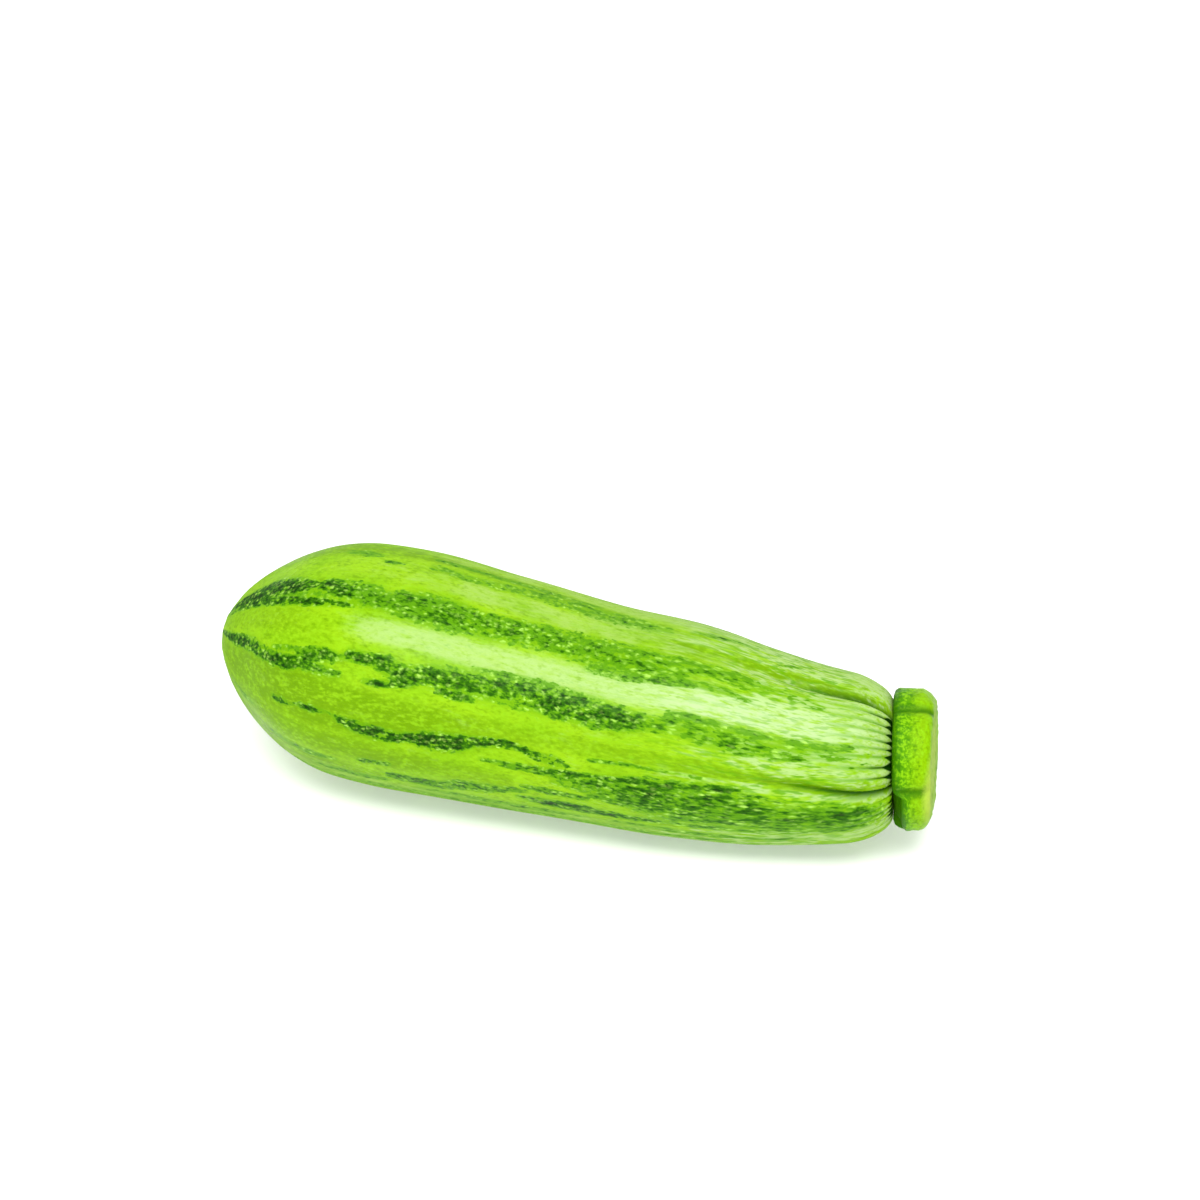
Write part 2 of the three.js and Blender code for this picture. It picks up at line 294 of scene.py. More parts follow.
# A stroke is one stripe or part of one: stations from the blossom end to the stem, each with its
# place in percent of the length, its angle and half width in degrees and its strength in percent,
# and then how dark the stroke is.
STROKES = (
    # Upper stripe on the front, with the thin line along its lower side and wisps further on.
    (((0, 66, 3, 60), (3, 68, 6, 100), (6, 69, 7.5, 110), (10, 71, 8, 110), (14, 70, 5.5, 105),
      (17, 69.5, 3, 75), (19, 70, 4.5, 105), (25, 68, 6, 100)), 0.95),
    (((22, 69, 5, 100), (25, 68, 6, 105), (28, 67, 5, 100), (33, 67.5, 8, 100), (37, 67, 8, 100),
      (42, 67, 6.5, 95), (52, 69, 7, 85), (58, 68, 8.5, 80), (63, 67, 8.5, 78), (68, 68, 7.5, 60),
      (73, 72, 4.5, 50), (78, 71, 5, 36), (83, 72, 4, 28), (90, 68, 6, 15), (97, 66, 6, 10)), 0.32),
    # Mid green between it and the thin line.
    (((3, 64, 3, 40), (7, 65, 4, 60), (14, 65, 3.5, 60), (20, 65, 2.5, 50)), 0.15),
    (((2, 59, 2, 60), (6, 61, 3, 95), (12, 61, 3, 100), (16, 60.5, 2.6, 100), (20, 61, 2.2, 95),
      (23.5, 61.5, 1.5, 60)), 0.95),
    (((58, 58, 2, 50), (63, 57.5, 2.5, 55), (70, 61, 2.5, 60), (75, 62.5, 2, 55),
      (79, 60.5, 1.5, 50)), 0.5),
    # Middle stripe, wide and ragged, with its lower branches and the wisps over it.
    (((0, 30, 3, 60), (3, 31, 4.5, 100), (6, 31, 5, 105), (9, 31.5, 4.6, 105), (10.5, 29.5, 4.2, 105),
      (13, 28, 3.6, 110), (16.5, 28.5, 3.6, 105), (18.5, 33, 4.5, 100), (21, 36, 3.4, 110),
      (23.2, 35.5, 2.8, 95), (24, 36, 2, 20), (24.8, 38, 2.6, 100), (29, 38, 3, 110), (31, 37, 4.5, 100),
      (33, 35, 3.5, 90), (37, 37, 5, 100), (41, 38, 5, 100), (45, 37.5, 5.5, 95), (50, 38.5, 7, 90),
      (55, 38, 7.5, 95), (60, 37, 7, 100), (65, 36, 5.5, 100), (67.5, 36, 4, 70), (70, 38, 5, 50),
      (74, 38, 7.5, 55), (79, 36, 6.5, 52), (83, 35, 5, 46), (88, 37, 7, 36), (95, 36, 9, 20),
      (100, 35, 8, 10)), 0.8),
    (((13, 34, 1.5, 40), (15, 35, 2, 55), (17.5, 36, 1.5, 40)), 0.5),
    (((18.5, 29, 2.5, 75), (21, 29, 2.8, 85), (24, 28.5, 1.8, 60)), 0.7),
    (((28.5, 28, 1.5, 80), (30, 28, 2, 90), (33, 30, 2, 90), (34.5, 31, 2, 70)), 0.9),
    (((38.5, 31, 2, 80), (41, 30.5, 2.5, 95), (43, 30, 1.5, 50)), 0.9),
    (((43, 45, 1.2, 60), (47, 45.5, 1.3, 70), (52, 45.5, 2, 60), (57, 44, 2, 55)), 0.3),
    (((70, 43, 2.5, 70), (76, 43.5, 2, 75), (82, 42.5, 1.5, 60), (90, 42, 2.5, 55),
      (94, 43, 2, 40)), 0.25),
    # Lower stripe on the front, in broken patches.
    (((14.2, 7, 1.6, 80), (15.5, 7.2, 2.2, 100), (16.8, 7, 1, 20), (18.3, 9, 1.4, 60),
      (20, 8.8, 2, 100), (21.7, 9, 1.4, 60), (23.5, 9, 0.8, 20), (24.8, 7, 1.8, 95), (27, 5.5, 3, 100),
      (30, 4, 3.5, 100), (33, 4, 3, 100), (35, 5.5, 2.5, 90), (37, 5.5, 4.2, 100), (40, 6.5, 5, 100),
      (42.5, 7.5, 4.5, 100), (44.5, 10, 3, 95), (48, 12, 2.5, 85), (51, 11.5, 2, 60), (53.5, 9, 2.5, 70),
      (56, 8, 3, 80), (57.5, 7, 1.5, 30)), 1.2),
    (((61, 12.5, 1.2, 60), (65, 13.5, 1.2, 70), (70, 13, 1, 40), (74, 13, 1, 50),
      (77, 13.5, 1, 30)), 0.5),
    # Broad band low on the front that thickens towards the stem, darkest along its upper edge.
    (((46, 1.5, 1.2, 50), (50, 1, 1.8, 85), (55, 1.5, 2.5, 95), (59, 0, 4, 90), (63, -2, 6.5, 90),
      (66, -4.5, 10, 95), (70, -6, 13.5, 100), (79, -5.5, 14, 100), (84, -8.5, 12, 95),
      (92, -8.5, 12, 95), (95.5, -8.5, 11.5, 85), (98.5, -9, 9, 50)), 0.6),
    (((49, 0.5, 1.2, 80), (56, 2.5, 1.5, 90), (60, 2.5, 2, 90), (66, 4.5, 2.5, 85), (70, 4.5, 3, 80),
      (74, 8, 2.5, 90), (79, 8.5, 2, 100), (82, 7, 1.5, 100), (86, 4, 1.2, 60)), 0.95),
    # Broken dashes under it, along the line where the skin turns under.
    (((5.5, -8, 2, 40), (7.5, -10, 3, 60), (9.5, -8, 2, 40)), 0.5),
    (((13, -20.5, 1.4, 50), (19, -20.5, 2.2, 65), (23.5, -19.5, 1.4, 50)), 0.5),
    (((28, -14.5, 1.6, 70), (31.8, -13.5, 1.6, 85)), 0.9),
    (((20, -29, 1.5, 40), (26, -29, 2.2, 60), (31, -28, 1.5, 40)), 0.5),
    (((32, -23, 2.2, 80), (34, -23.5, 3, 90), (39, -24, 4, 85), (42, -20, 4.5, 75), (46, -19, 4, 75),
      (50, -16, 2.5, 85), (52, -15.5, 1.8, 50)), 0.6),
    (((51, -21, 1.8, 60), (55, -22.5, 3.6, 100), (60, -22.5, 3.6, 100), (62, -23, 3, 90),
      (66, -24, 2.5, 80), (70, -23, 2, 70), (78, -22, 1.8, 60), (86, -22, 1.2, 40)), 0.8),
    (((52, -11, 1.6, 60), (55, -12, 2.6, 80), (60, -12.5, 2, 60)), 0.7),
    (((56, -4, 2, 50), (60, -5, 3, 80), (64, -7, 2.5, 70)), 0.6),
    (((36, -31, 1.5, 35), (44, -31, 2.5, 50), (54, -32, 2.5, 45), (60, -31, 2, 30)), 0.5),
    (((64, -30, 1.5, 40), (74, -31, 2.5, 50), (84, -30, 2, 45), (90, -30, 1.5, 30)), 0.5),
    (((14, -38, 2, 30), (30, -37, 3, 45), (50, -39, 3, 45), (80, -38, 3, 40)), 0.4),
    (((61, -9, 1.5, 60), (64, -12, 1.5, 70), (68, -13, 1.2, 40)), 0.6),
    # Faint stripe on top, in patches.
    (((19, 97, 2, 45), (21.5, 96.5, 3, 50), (24, 96, 1.5, 30)), 0.3),
    (((25.5, 92, 1.2, 50), (26.5, 92, 1.8, 75), (27.5, 92, 1, 40)), 0.6),
    (((32, 102, 1.5, 50), (38, 102, 1.5, 60), (44, 102.5, 1.8, 60), (56, 102, 1.5, 45)), 0.15),
    (((32, 95, 3, 35), (36, 93.5, 2.5, 40), (45, 96, 4, 42), (52, 96.5, 5, 50), (62, 95, 6, 42),
      (67, 94, 4, 35)), 0.25),
    (((70, 98, 2, 40), (74, 101, 2, 65), (78, 102.5, 1.5, 50)), 0.4),
    (((82.5, 93, 1, 50), (84, 95, 1.3, 60), (85, 96, 1, 30)), 0.4),
    # The far side and the underside.
    (((2, 126, 3, 70), (8, 130, 6, 100), (16, 133, 5, 95), (26, 131, 7, 100), (38, 134, 8, 100),
      (50, 132, 6, 90), (60, 134, 8, 90), (72, 131, 9, 75), (84, 132, 9, 50), (95, 130, 9, 25)), 0.65),
    (((0, 164, 2, 60), (5, 162, 3.5, 100), (13, 166, 4, 95), (20, 170, 2.5, 80), (27, 167, 6, 100),
      (36, 165, 7, 100), (46, 168, 4, 80), (54, 170, 7, 100), (64, 168, 5, 85), (76, 166, 10, 70),
      (88, 168, 11, 40), (98, 168, 9, 15)), 0.85),
    (((10, 194, 1.5, 60), (18, 197, 2, 80), (25, 199, 4, 100), (34, 202, 3.5, 90), (42, 198, 5, 100),
      (52, 196, 2.5, 60), (62, 200, 5, 90), (72, 203, 9, 95), (84, 201, 9, 85), (95, 202, 8, 60)), 0.7),
    (((3, 230, 3, 80), (12, 234, 5, 100), (24, 236, 6, 95), (40, 233, 7, 95), (56, 236, 6, 85),
      (70, 234, 8, 75), (85, 235, 8, 50), (96, 235, 7, 20)), 0.6),
    (((5, 268, 3, 70), (20, 270, 5, 90), (40, 268, 5, 80), (60, 271, 6, 85), (80, 269, 7, 60),
      (95, 270, 6, 30)), 0.6),
    (((6, 304, 2.5, 50), (18, 301, 3, 60), (34, 303, 4, 65), (50, 300, 4, 60), (66, 302, 6, 70),
      (82, 301, 7, 60), (94, 302, 6, 30)), 0.5),
)

# Broad strokes where the plain skin is darker green, stations as above; on nose and underside, painted
# shade.
DEEPER_AND_SHADE = (
    ((0, 14, 12, 60), (8, 13, 15, 110), (20, 14, 14, 130), (30, 12, 12, 120), (42, 16, 8, 70),
     (55, 19, 6, 50), (70, 19, 4.5, 60), (85, 18.5, 3.5, 90), (96, 15, 2.5, 90)),
    ((0, 104, 12, 50), (10, 106, 13, 80), (20, 104, 11, 80), (30, 103, 5, 80), (45, 103, 3.5, 80),
     (60, 101, 3, 50)),
    ((60, 86, 3, 30), (70, 86, 4, 80), (85, 87, 4, 90), (97, 85.5, 3.5, 100)),
    ((0, 50, 9, 50), (15, 50, 9, 50), (24, 48, 7, 20)),
    ((0, -8, 9, 50), (10, -6, 10, 80), (35, -9, 9, 80), (50, -10, 6, 50)),
    ((2, -26, 10, 60), (10, -27, 12, 100), (25, -27, 9, 80), (35, -30, 5, 30)),
    ((0, -42, 14, 80), (50, -42, 15, 90), (85, -42, 13, 70), (100, -42, 10, 40)),
    ((0, -60, 12, 60), (20, -61, 11, 140), (90, -61, 11, 140), (100, -60, 10, 50)),
    ((0, 148, 9, 50), (20, 150, 12, 80), (40, 150, 9, 70), (70, 154, 6, 60), (97, 156, 4, 90)),
    ((10, 218, 10, 60), (40, 218, 9, 60), (70, 226, 6, 60), (97, 228, 4, 90)),
    ((10, 286, 8, 40), (50, 288, 9, 40), (75, 298, 6, 50), (97, 300, 4, 80)),
)

# Paler runs, partly the skin's own and partly painted highlight on the lit band and painted reflection
# on top.
PALER_AND_HIGHLIGHT = (
    ((30, 112, 8, 40), (50, 113, 10, 60), (65, 109, 11, 80), (80, 105, 14, 90), (100, 106, 20, 100)),
    ((25, 86, 6, 20), (40, 85, 8, 60), (60, 83, 6, 60), (75, 80, 6, 50), (90, 78, 6, 80),
     (100, 76, 8, 100)),
    ((23, 52, 4, 20), (27, 52, 6, 80), (45, 51.5, 7, 100), (60, 50.5, 8, 100), (75, 53, 9, 100),
     (83, 57, 13, 100), (90, 61, 20, 100), (100, 60, 24, 100)),
    ((70, 27, 3, 20), (80, 30, 8, 60), (90, 31, 12, 75), (100, 29, 14, 85)),
    ((52, 90, 4, 30), (60, 91, 5, 80), (76, 91, 4, 70), (86, 93, 3, 40)),
    ((70, 13, 2.5, 40), (80, 12, 2.5, 70), (90, 8, 2.5, 70), (98, 6, 3, 90)),
    ((75, -26, 4, 40), (85, -25, 6, 90), (100, -28, 9, 90)),
    ((30, 182, 7, 50), (60, 184, 8, 70), (85, 184, 12, 90), (100, 184, 16, 90)),
    ((20, 252, 8, 50), (60, 252, 9, 60), (90, 262, 12, 80), (100, 262, 14, 80)),
    ((15, 325, 9, 40), (50, 322, 9, 50), (90, 322, 10, 70)),
)

# Where a whitish highlight is painted on, along the lit band.
PAINTED_HIGHLIGHT_STROKES = (
    ((24, 53, 4, 20), (30, 52, 6, 50), (45, 51.5, 6.5, 50), (60, 51, 6.5, 75), (72, 52, 7, 100),
     (85, 54, 9, 100), (93, 55, 10, 70), (98, 50, 8, 30)),
)


# How a stroke fades: over this share of the length at its ends, and from its middle outwards in a
# firm core and a weak skirt, both in half widths.
STROKE_END = 0.012
CORE_FULL = 0.4
CORE_END = 1.35
CORE_STRENGTH = 0.82
SKIRT_WIDTH = 1.9
SKIRT_STRENGTH = 0.18
# How dark the pattern counts where no stroke reaches.
DARK_ELSEWHERE = 0.4


def stroke_density(stations, share, angle):
    """How solid one stroke is at each point: its strength at the middle, soft at its sides."""
    place, middle, half, percent = np.array(stations).T
    at = place / 100
    line = np.radians(np.interp(share, at, middle))
    width = np.radians(np.interp(share, at, half))
    strong = np.interp(share, at, percent / 100)
    ends = between(share, at[0], at[-1], STROKE_END)
    away = np.abs(angle_between(angle, line)) / width
    core = 1 - smoothstep(away, CORE_FULL, CORE_END)
    skirt = np.exp(-((away / SKIRT_WIDTH) ** 2))
    return strong * ends * (CORE_STRENGTH * core + SKIRT_STRENGTH * skirt)


def stripe_fields(share, angle):
    """Density of the stripes and how dark the strongest stroke at each point is."""
    density = np.zeros_like(share)
    dark = np.full_like(share, DARK_ELSEWHERE)
    for stations, darkness in STROKES:
        stroke = stroke_density(stations, share, angle)
        dark = np.where(stroke > density, darkness, dark)
        density = np.maximum(density, stroke)
    return density, dark


def tint_field(strokes, share, angle):
    """Density of the strongest of some broad strokes."""
    return np.max([stroke_density(stations, share, angle) for stations in strokes], axis=0)


# How many times longer than wide the grain is, on the body and, added to that, on the neck.
GRAIN_STRETCH = 1.9
NECK_STRETCH = 2.4


def grain_vectors(along, angle, radius):
    """Millimetres round the skin, with the lengthwise share drawn out more and more to the stem."""
    fine = np.linspace(0, FRUIT_LENGTH, 600)
    drawn_out = GRAIN_STRETCH + NECK_STRETCH * smoothstep(fine / FRUIT_LENGTH, 0.55, 0.97)
    travelled = running_total(np.diff(fine) / drawn_out[1:])
    lengthwise = np.interp(along, fine, travelled)
    return np.stack((lengthwise, radius * np.cos(angle), radius * np.sin(angle)), axis=-1)


# ---------------- building the meshes

def rest_offset():
    """What puts the drawn points where the CAD fruit is: tip at its box's end, rest on the floor."""
    along = np.linspace(0, FRUIT_LENGTH, 400)[:, None]
    angle = np.linspace(-math.pi, 0, 181)[None, :]
    along, angle = np.broadcast_arrays(along, angle)
    radius = skin_radius(along)
    radius = radius + solid_relief(along, angle, radius)
    lowest = lay_along_axis(along, angle, radius)[..., 2].min()
    return np.array((fruit_low.x / UNIT, 0, -(lowest + REST_DEPTH)))


REST_OFFSET = rest_offset()
# How softly the skin bends into the patch it rests on, and how far it all sinks to make up for that.
PATCH_SOFTNESS = 0.12
PATCH_SHIFT = 0.02


def press_on_floor(points):
    """Rounds off what would reach under the floor into a flat patch."""
    z = points[..., 2] - PATCH_SHIFT
    points[..., 2] = (z + np.sqrt(z**2 + PATCH_SOFTNESS**2)) / 2
    return points


def in_scene(name, data):
    """A new object with this data, linked to the scene."""
    made = bpy.data.objects.new(name, data)
    bpy.context.scene.collection.objects.link(made)
    return made


def closed_skin(name, grid, places, fields):
    """A closed surface through rings of points. The first and the last ring are single points.

    grid is rings x around x 3, in drawn millimetres. places gives each ring its height in the
    unrolled map. fields holds numbers or vectors for each point of the grid."""
    rings, around = grid.shape[:2]
    last = 1 + (rings - 2) * around

    def flat(values):
        body = values[1:-1].reshape(-1, *values.shape[2:])
        return np.concatenate((values[:1, 0], body, values[-1:, 0]))

    # Each corner of a face as its ring and how many points round it: fans at both ends, and
    # four-sided faces between them.
    faces = [((0, c + 0.5), (1, c + 1), (1, c)) for c in range(around)]
    for r in range(1, rings - 2):
        faces += [((r, c), (r, c + 1), (r + 1, c + 1), (r + 1, c)) for c in range(around)]
    faces += [((rings - 1, c + 0.5), (rings - 2, c), (rings - 2, c + 1)) for c in range(around)]
    ring, turn = np.array([corner for face in faces for corner in face]).T
    ring = ring.astype(int)
    points = np.clip(1 + (ring - 1) * around + turn.astype(int) % around, 0, last)
    next_point = iter(points.tolist())
    faces = [[next(next_point) for _ in face] for face in faces]
    mesh = bpy.data.meshes.new(name)
    mesh.from_pydata((flat(grid) * UNIT).tolist(), [], faces)
    mesh.polygons.foreach_set("use_smooth", [True] * len(mesh.polygons))
    unrolled = mesh.uv_layers.new(name="OFBake")
    unrolled.data.foreach_set("uv", np.stack((turn / around, places[ring]), axis=1).ravel())
    for field, values in fields.items():
        flat_values = flat(values).astype(np.float32)
        kind, key = ("FLOAT_VECTOR", "vector") if flat_values.ndim == 2 else ("FLOAT", "value")
        attribute = mesh.attributes.new(field, kind, "POINT")
        attribute.data.foreach_set(key, flat_values.ravel())
    mesh.validate()
    mesh.update()
    return in_scene(name, mesh)


def arc_places(radius, along):
    """Each ring's distance along the outline as a share of the whole."""
    travelled = running_total(np.hypot(np.diff(radius), np.diff(along)))
    return travelled / travelled[-1]


def fruit_stations():
    """Distances along the axis of the fruit's rings, closer together at the nose and shoulder."""
    turn = np.linspace(0, math.pi, 4000)
    along = FRUIT_LENGTH * (1 - np.cos(turn)) / 2
    radius = skin_radius(along)
    share = along / FRUIT_LENGTH
    weight = 1 + 1.6 * smoothstep(share, 0.9, 0.96) + 0.5 * (1 - smoothstep(share, 0.02, 0.08))
    travelled = running_total(np.hypot(np.diff(radius), np.diff(along)) * weight[1:])
    return np.interp(np.linspace(0, travelled[-1], FRUIT_RINGS), travelled, along)


SCAR_RADIUS = 4.6
SCAR_DEPTH = 0.7
SCAR_RIM_HEIGHT = 0.22
SCAR_KNOB_HEIGHT = 0.55
# Only this share of the length at the blossom end can be scar.
SCAR_SHARE = 0.1


def scar_fields(points, angle, radius, share):
    """The blossom's scar: how much a point belongs to it, and its relief along the axis."""
    near = share < SCAR_SHARE
    ragged = 0.35 * np.sin(5 * angle + 0.6) + 0.25 * np.sin(11 * angle) + 0.15 * np.sin(17 * angle + 2)
    reach = np.where(near, radius + ragged, 99.0)
    scar = 1 - smoothstep(reach, SCAR_RADIUS - 0.7, SCAR_RADIUS + 0.3)
    rim = np.exp(-(((reach - SCAR_RADIUS - 0.6) / 1.1) ** 2))
    dish = SCAR_DEPTH * (1 - smoothstep(reach, 0, SCAR_RADIUS)) - SCAR_RIM_HEIGHT * rim
    corky = noise_at(points, 0.9, 3) * 0.16 + noise_at(points, 2.3, 4) * 0.08
    knob = -SCAR_KNOB_HEIGHT * (1 - smoothstep(reach, 0.4, 1.6))
    return scar, dish + scar * corky + np.where(near, knob, 0)


SHINE_MIDDLE = math.radians(35)


def matt_field(share, angle):
    """Where the skin has lost its shine: the side it lies on, its back and the tip of its nose."""
    away = np.abs(np.degrees(angle_between(angle, SHINE_MIDDLE)))
    return np.maximum(smoothstep(away, 56, 82), 1 - smoothstep(share, 0.03, 0.13))


# Soft swellings all over the skin, and streaks along it that are stronger on the neck.
SWELL_HEIGHT = 0.22
STREAK_HEIGHT = 0.05
NECK_STREAK_HEIGHT = 0.1
FINE_CREASE_DEPTH = 1.0
FINE_CREASE_HALF_WIDTH = 0.75
# Share of the unrolled map's height that the skin takes, up to the seat of the stem.
MAPPED_SKIN = 0.97


def unevenness(points, along, radius, share):
    """The soft relief of the skin, in millimetres."""
    streaky = np.stack((along * 0.12, points[..., 1], points[..., 2]), axis=-1)
    streak = STREAK_HEIGHT + NECK_STREAK_HEIGHT * smoothstep(share, 0.6, 0.95)
    swell = SWELL_HEIGHT * noise_at(points, 0.045, 1)
    return in_body(radius) * (swell + streak * noise_at(streaky, 0.3, 2))


def make_fruit():
    along, angle = np.meshgrid(fruit_stations(), angles_around(FRUIT_AROUND), indexing="ij")
    share = along / FRUIT_LENGTH
    spread = riblet_strength(angle) * (SLIT_SPAN - CREST_SPAN * riblet_crest(angle))
    radius = skin_radius(along, SHOULDER_SPAN * (1 + spread))
    slits = shoulder_slits(share, angle)
    crease = crease_at(angle, radius, FINE_CREASE_HALF_WIDTH, share) * smoothstep(share, 0.8, 0.95)
    plain = lay_along_axis(along, angle, radius)
    relief = solid_relief(along, angle, radius) + unevenness(plain, along, radius, share)
    relief -= FINE_CREASE_DEPTH * crease + SLIT_DEPTH * slits
    relief[-1] = 0
    scar, dish = scar_fields(plain, angle, radius, share)
    grid = lay_along_axis(along + dish, angle, radius + relief * (radius > 0))
    seat = grid[-1].mean(axis=0)
    grid = np.concatenate((grid, np.broadcast_to(seat, (1, FRUIT_AROUND, 3))))
    grid[0] = grid[0].mean(axis=0)
    grid = press_on_floor(grid + REST_OFFSET)
    density, dark = stripe_fields(share, angle)
    fields = {
        "stripe": density,
        "dark": dark,
        "share": share,
        # The painted shade of the creases follows this.
        "crease": crease,
        # Painted shade in the slits and round the seat.
        "slit_shade": np.maximum(slits, seat_shade(share, angle)),
        "valley": riblet_valleys(share, angle),
        "deeper_and_shade": tint_field(DEEPER_AND_SHADE, share, angle),
        # Paler skin with painted highlight and reflection, and the painted highlight on the riblet tips.
        "paler": np.maximum(tint_field(PALER_AND_HIGHLIGHT, share, angle), riblet_tip_highlight(share, angle)),
        # Painted highlight along the lit band.
        "highlight_stroke": tint_field(PAINTED_HIGHLIGHT_STROKES, share, angle),
        "scar": scar,
        "matt": matt_field(share, angle),
        "grain": grain_vectors(along, angle, skin_radius(along)),
    }
    fields = {key: np.concatenate((values, values[-1:])) for key, values in fields.items()}
    places = arc_places(skin_radius(along[:, 0]), along[:, 0]) * MAPPED_SKIN
    return closed_skin("fruit_skin", grid, np.append(places, 1.0), fields)


# ---------------- the stem's shape

STEM_CLEARANCE = 0.12
STEM_FOOT = FRUIT_LENGTH + STEM_CLEARANCE
STEM_CUT = STEM_FOOT + STEM_LENGTH
# Radius and distance from the foot: across the foot, up the side and round the edge of the cut.
STEM_OUTLINE = (
    (0.0, 0.0), (10.6, 0.0), (13.0, -0.15), (14.1, 0.2), (14.6, 0.9), (14.6, 2.0), (14.5, 3.2),
    (14.5, 5.6), (14.4, 6.5), (14.05, 7.3), (13.5, 7.85), (12.7, 8.1),
)
OUTLINE_POINTS = 2000
OUTLINE_SOFTENING = 61
# Under this radius the rings of the foot, which nobody sees, lie farther apart.
HIDDEN_RADIUS = 10.3
HIDDEN_DENSITY = 0.12
# One lobe, low on the front, leaves the shoulder a little free: from and to, in degrees.
NOTCH_ANGLES = (-52, 1)
NOTCH_DEPTH = 1.6
# The rim is worn back low on the front and high on the back: from, to (distances from the middle
# of the stem towards there) and how far back.
WORN_LOW = (9.0, 15.0, 0.6)
WORN_HIGH = (11.0, 15.0, 1.4)
WORN_TOWARDS = math.radians(122)
# The lobes: depth and half width of the fine groove and of the hollow between two of them.
GROOVE_DEPTH = 0.8
GROOVE_HALF_WIDTH = 1.15
HOLLOW_DEPTH = 0.45
HOLLOW_HALF_WIDTH = 3.2
LOBE_HEIGHT = 0.2
# The cut face: how deep it dishes, its ring of strands (share of the radius, width) and its height.
CUT_DISH = 0.35
STRAND_COUNT = 10
STRAND_TURN = math.radians(18)
STRAND_RING = 0.66
STRAND_WIDTH = 0.12
STRAND_HEIGHT = 0.1
# Where the green rind ends, as a distance from the foot, how much lower that is on the front, and
# how far past it the middle of the cut face counts.
RIND_END = 8.5
RIND_DROP = 2.5
FLESH_REACH = 7.0
# How far from the edge of the cut its roughness reaches, and how high that is.
EDGE_WIDTH = 0.004 * STEM_CUT
EDGE_ROUGHNESS = 0.15


def stem_rings():
    """Radius and distance along for each ring: foot, side, worn edge, then the cut face inwards."""
    outline = np.array(STEM_OUTLINE)
    travelled = arc_places(outline[:, 0], outline[:, 1])
    fine = np.linspace(0, 1, OUTLINE_POINTS)
    kernel = np.hanning(OUTLINE_SOFTENING) / np.hanning(OUTLINE_SOFTENING).sum()

    def softened(values):
        padded = np.pad(np.interp(fine, travelled, values), OUTLINE_SOFTENING // 2, mode="edge")
        return np.convolve(padded, kernel, mode="valid")

    radius, along = softened(outline[:, 0]), softened(outline[:, 1])
    density = np.where(radius < HIDDEN_RADIUS, HIDDEN_DENSITY, 1.0)
    run = running_total(np.hypot(np.diff(radius), np.diff(along)) * density[1:])
    picks = np.interp(np.linspace(0, run[-1], STEM_SIDE_RINGS), run, fine)
    side_radius = np.interp(picks, fine, radius)
    side_along = np.interp(picks, fine, along)
    side_radius[0] = 0
    face_radius = np.linspace(side_radius[-1], 0, STEM_FACE_RINGS + 1)[1:]
    face_along = np.full(STEM_FACE_RINGS, side_along[-1])
    return np.append(side_radius, face_radius), np.append(side_along, face_along)


def cut_face(share_out, spokes, angle):
    """The strands in the cut face, and its relief: a low dish with their ring and a rough pith."""
    strands = np.cos(STRAND_COUNT * (angle - CREASE_ANGLES[0] - STRAND_TURN))
    ring = np.exp(-(((share_out - STRAND_RING) / STRAND_WIDTH) ** 2))
    dish = STRAND_HEIGHT * ring * strands - CUT_DISH * (1 - share_out**4)
    rough = 0.1 * noise_at(spokes, 0.8, 13) + 0.05 * noise_at(spokes, 2.4, 14)
    return strands, dish + rough


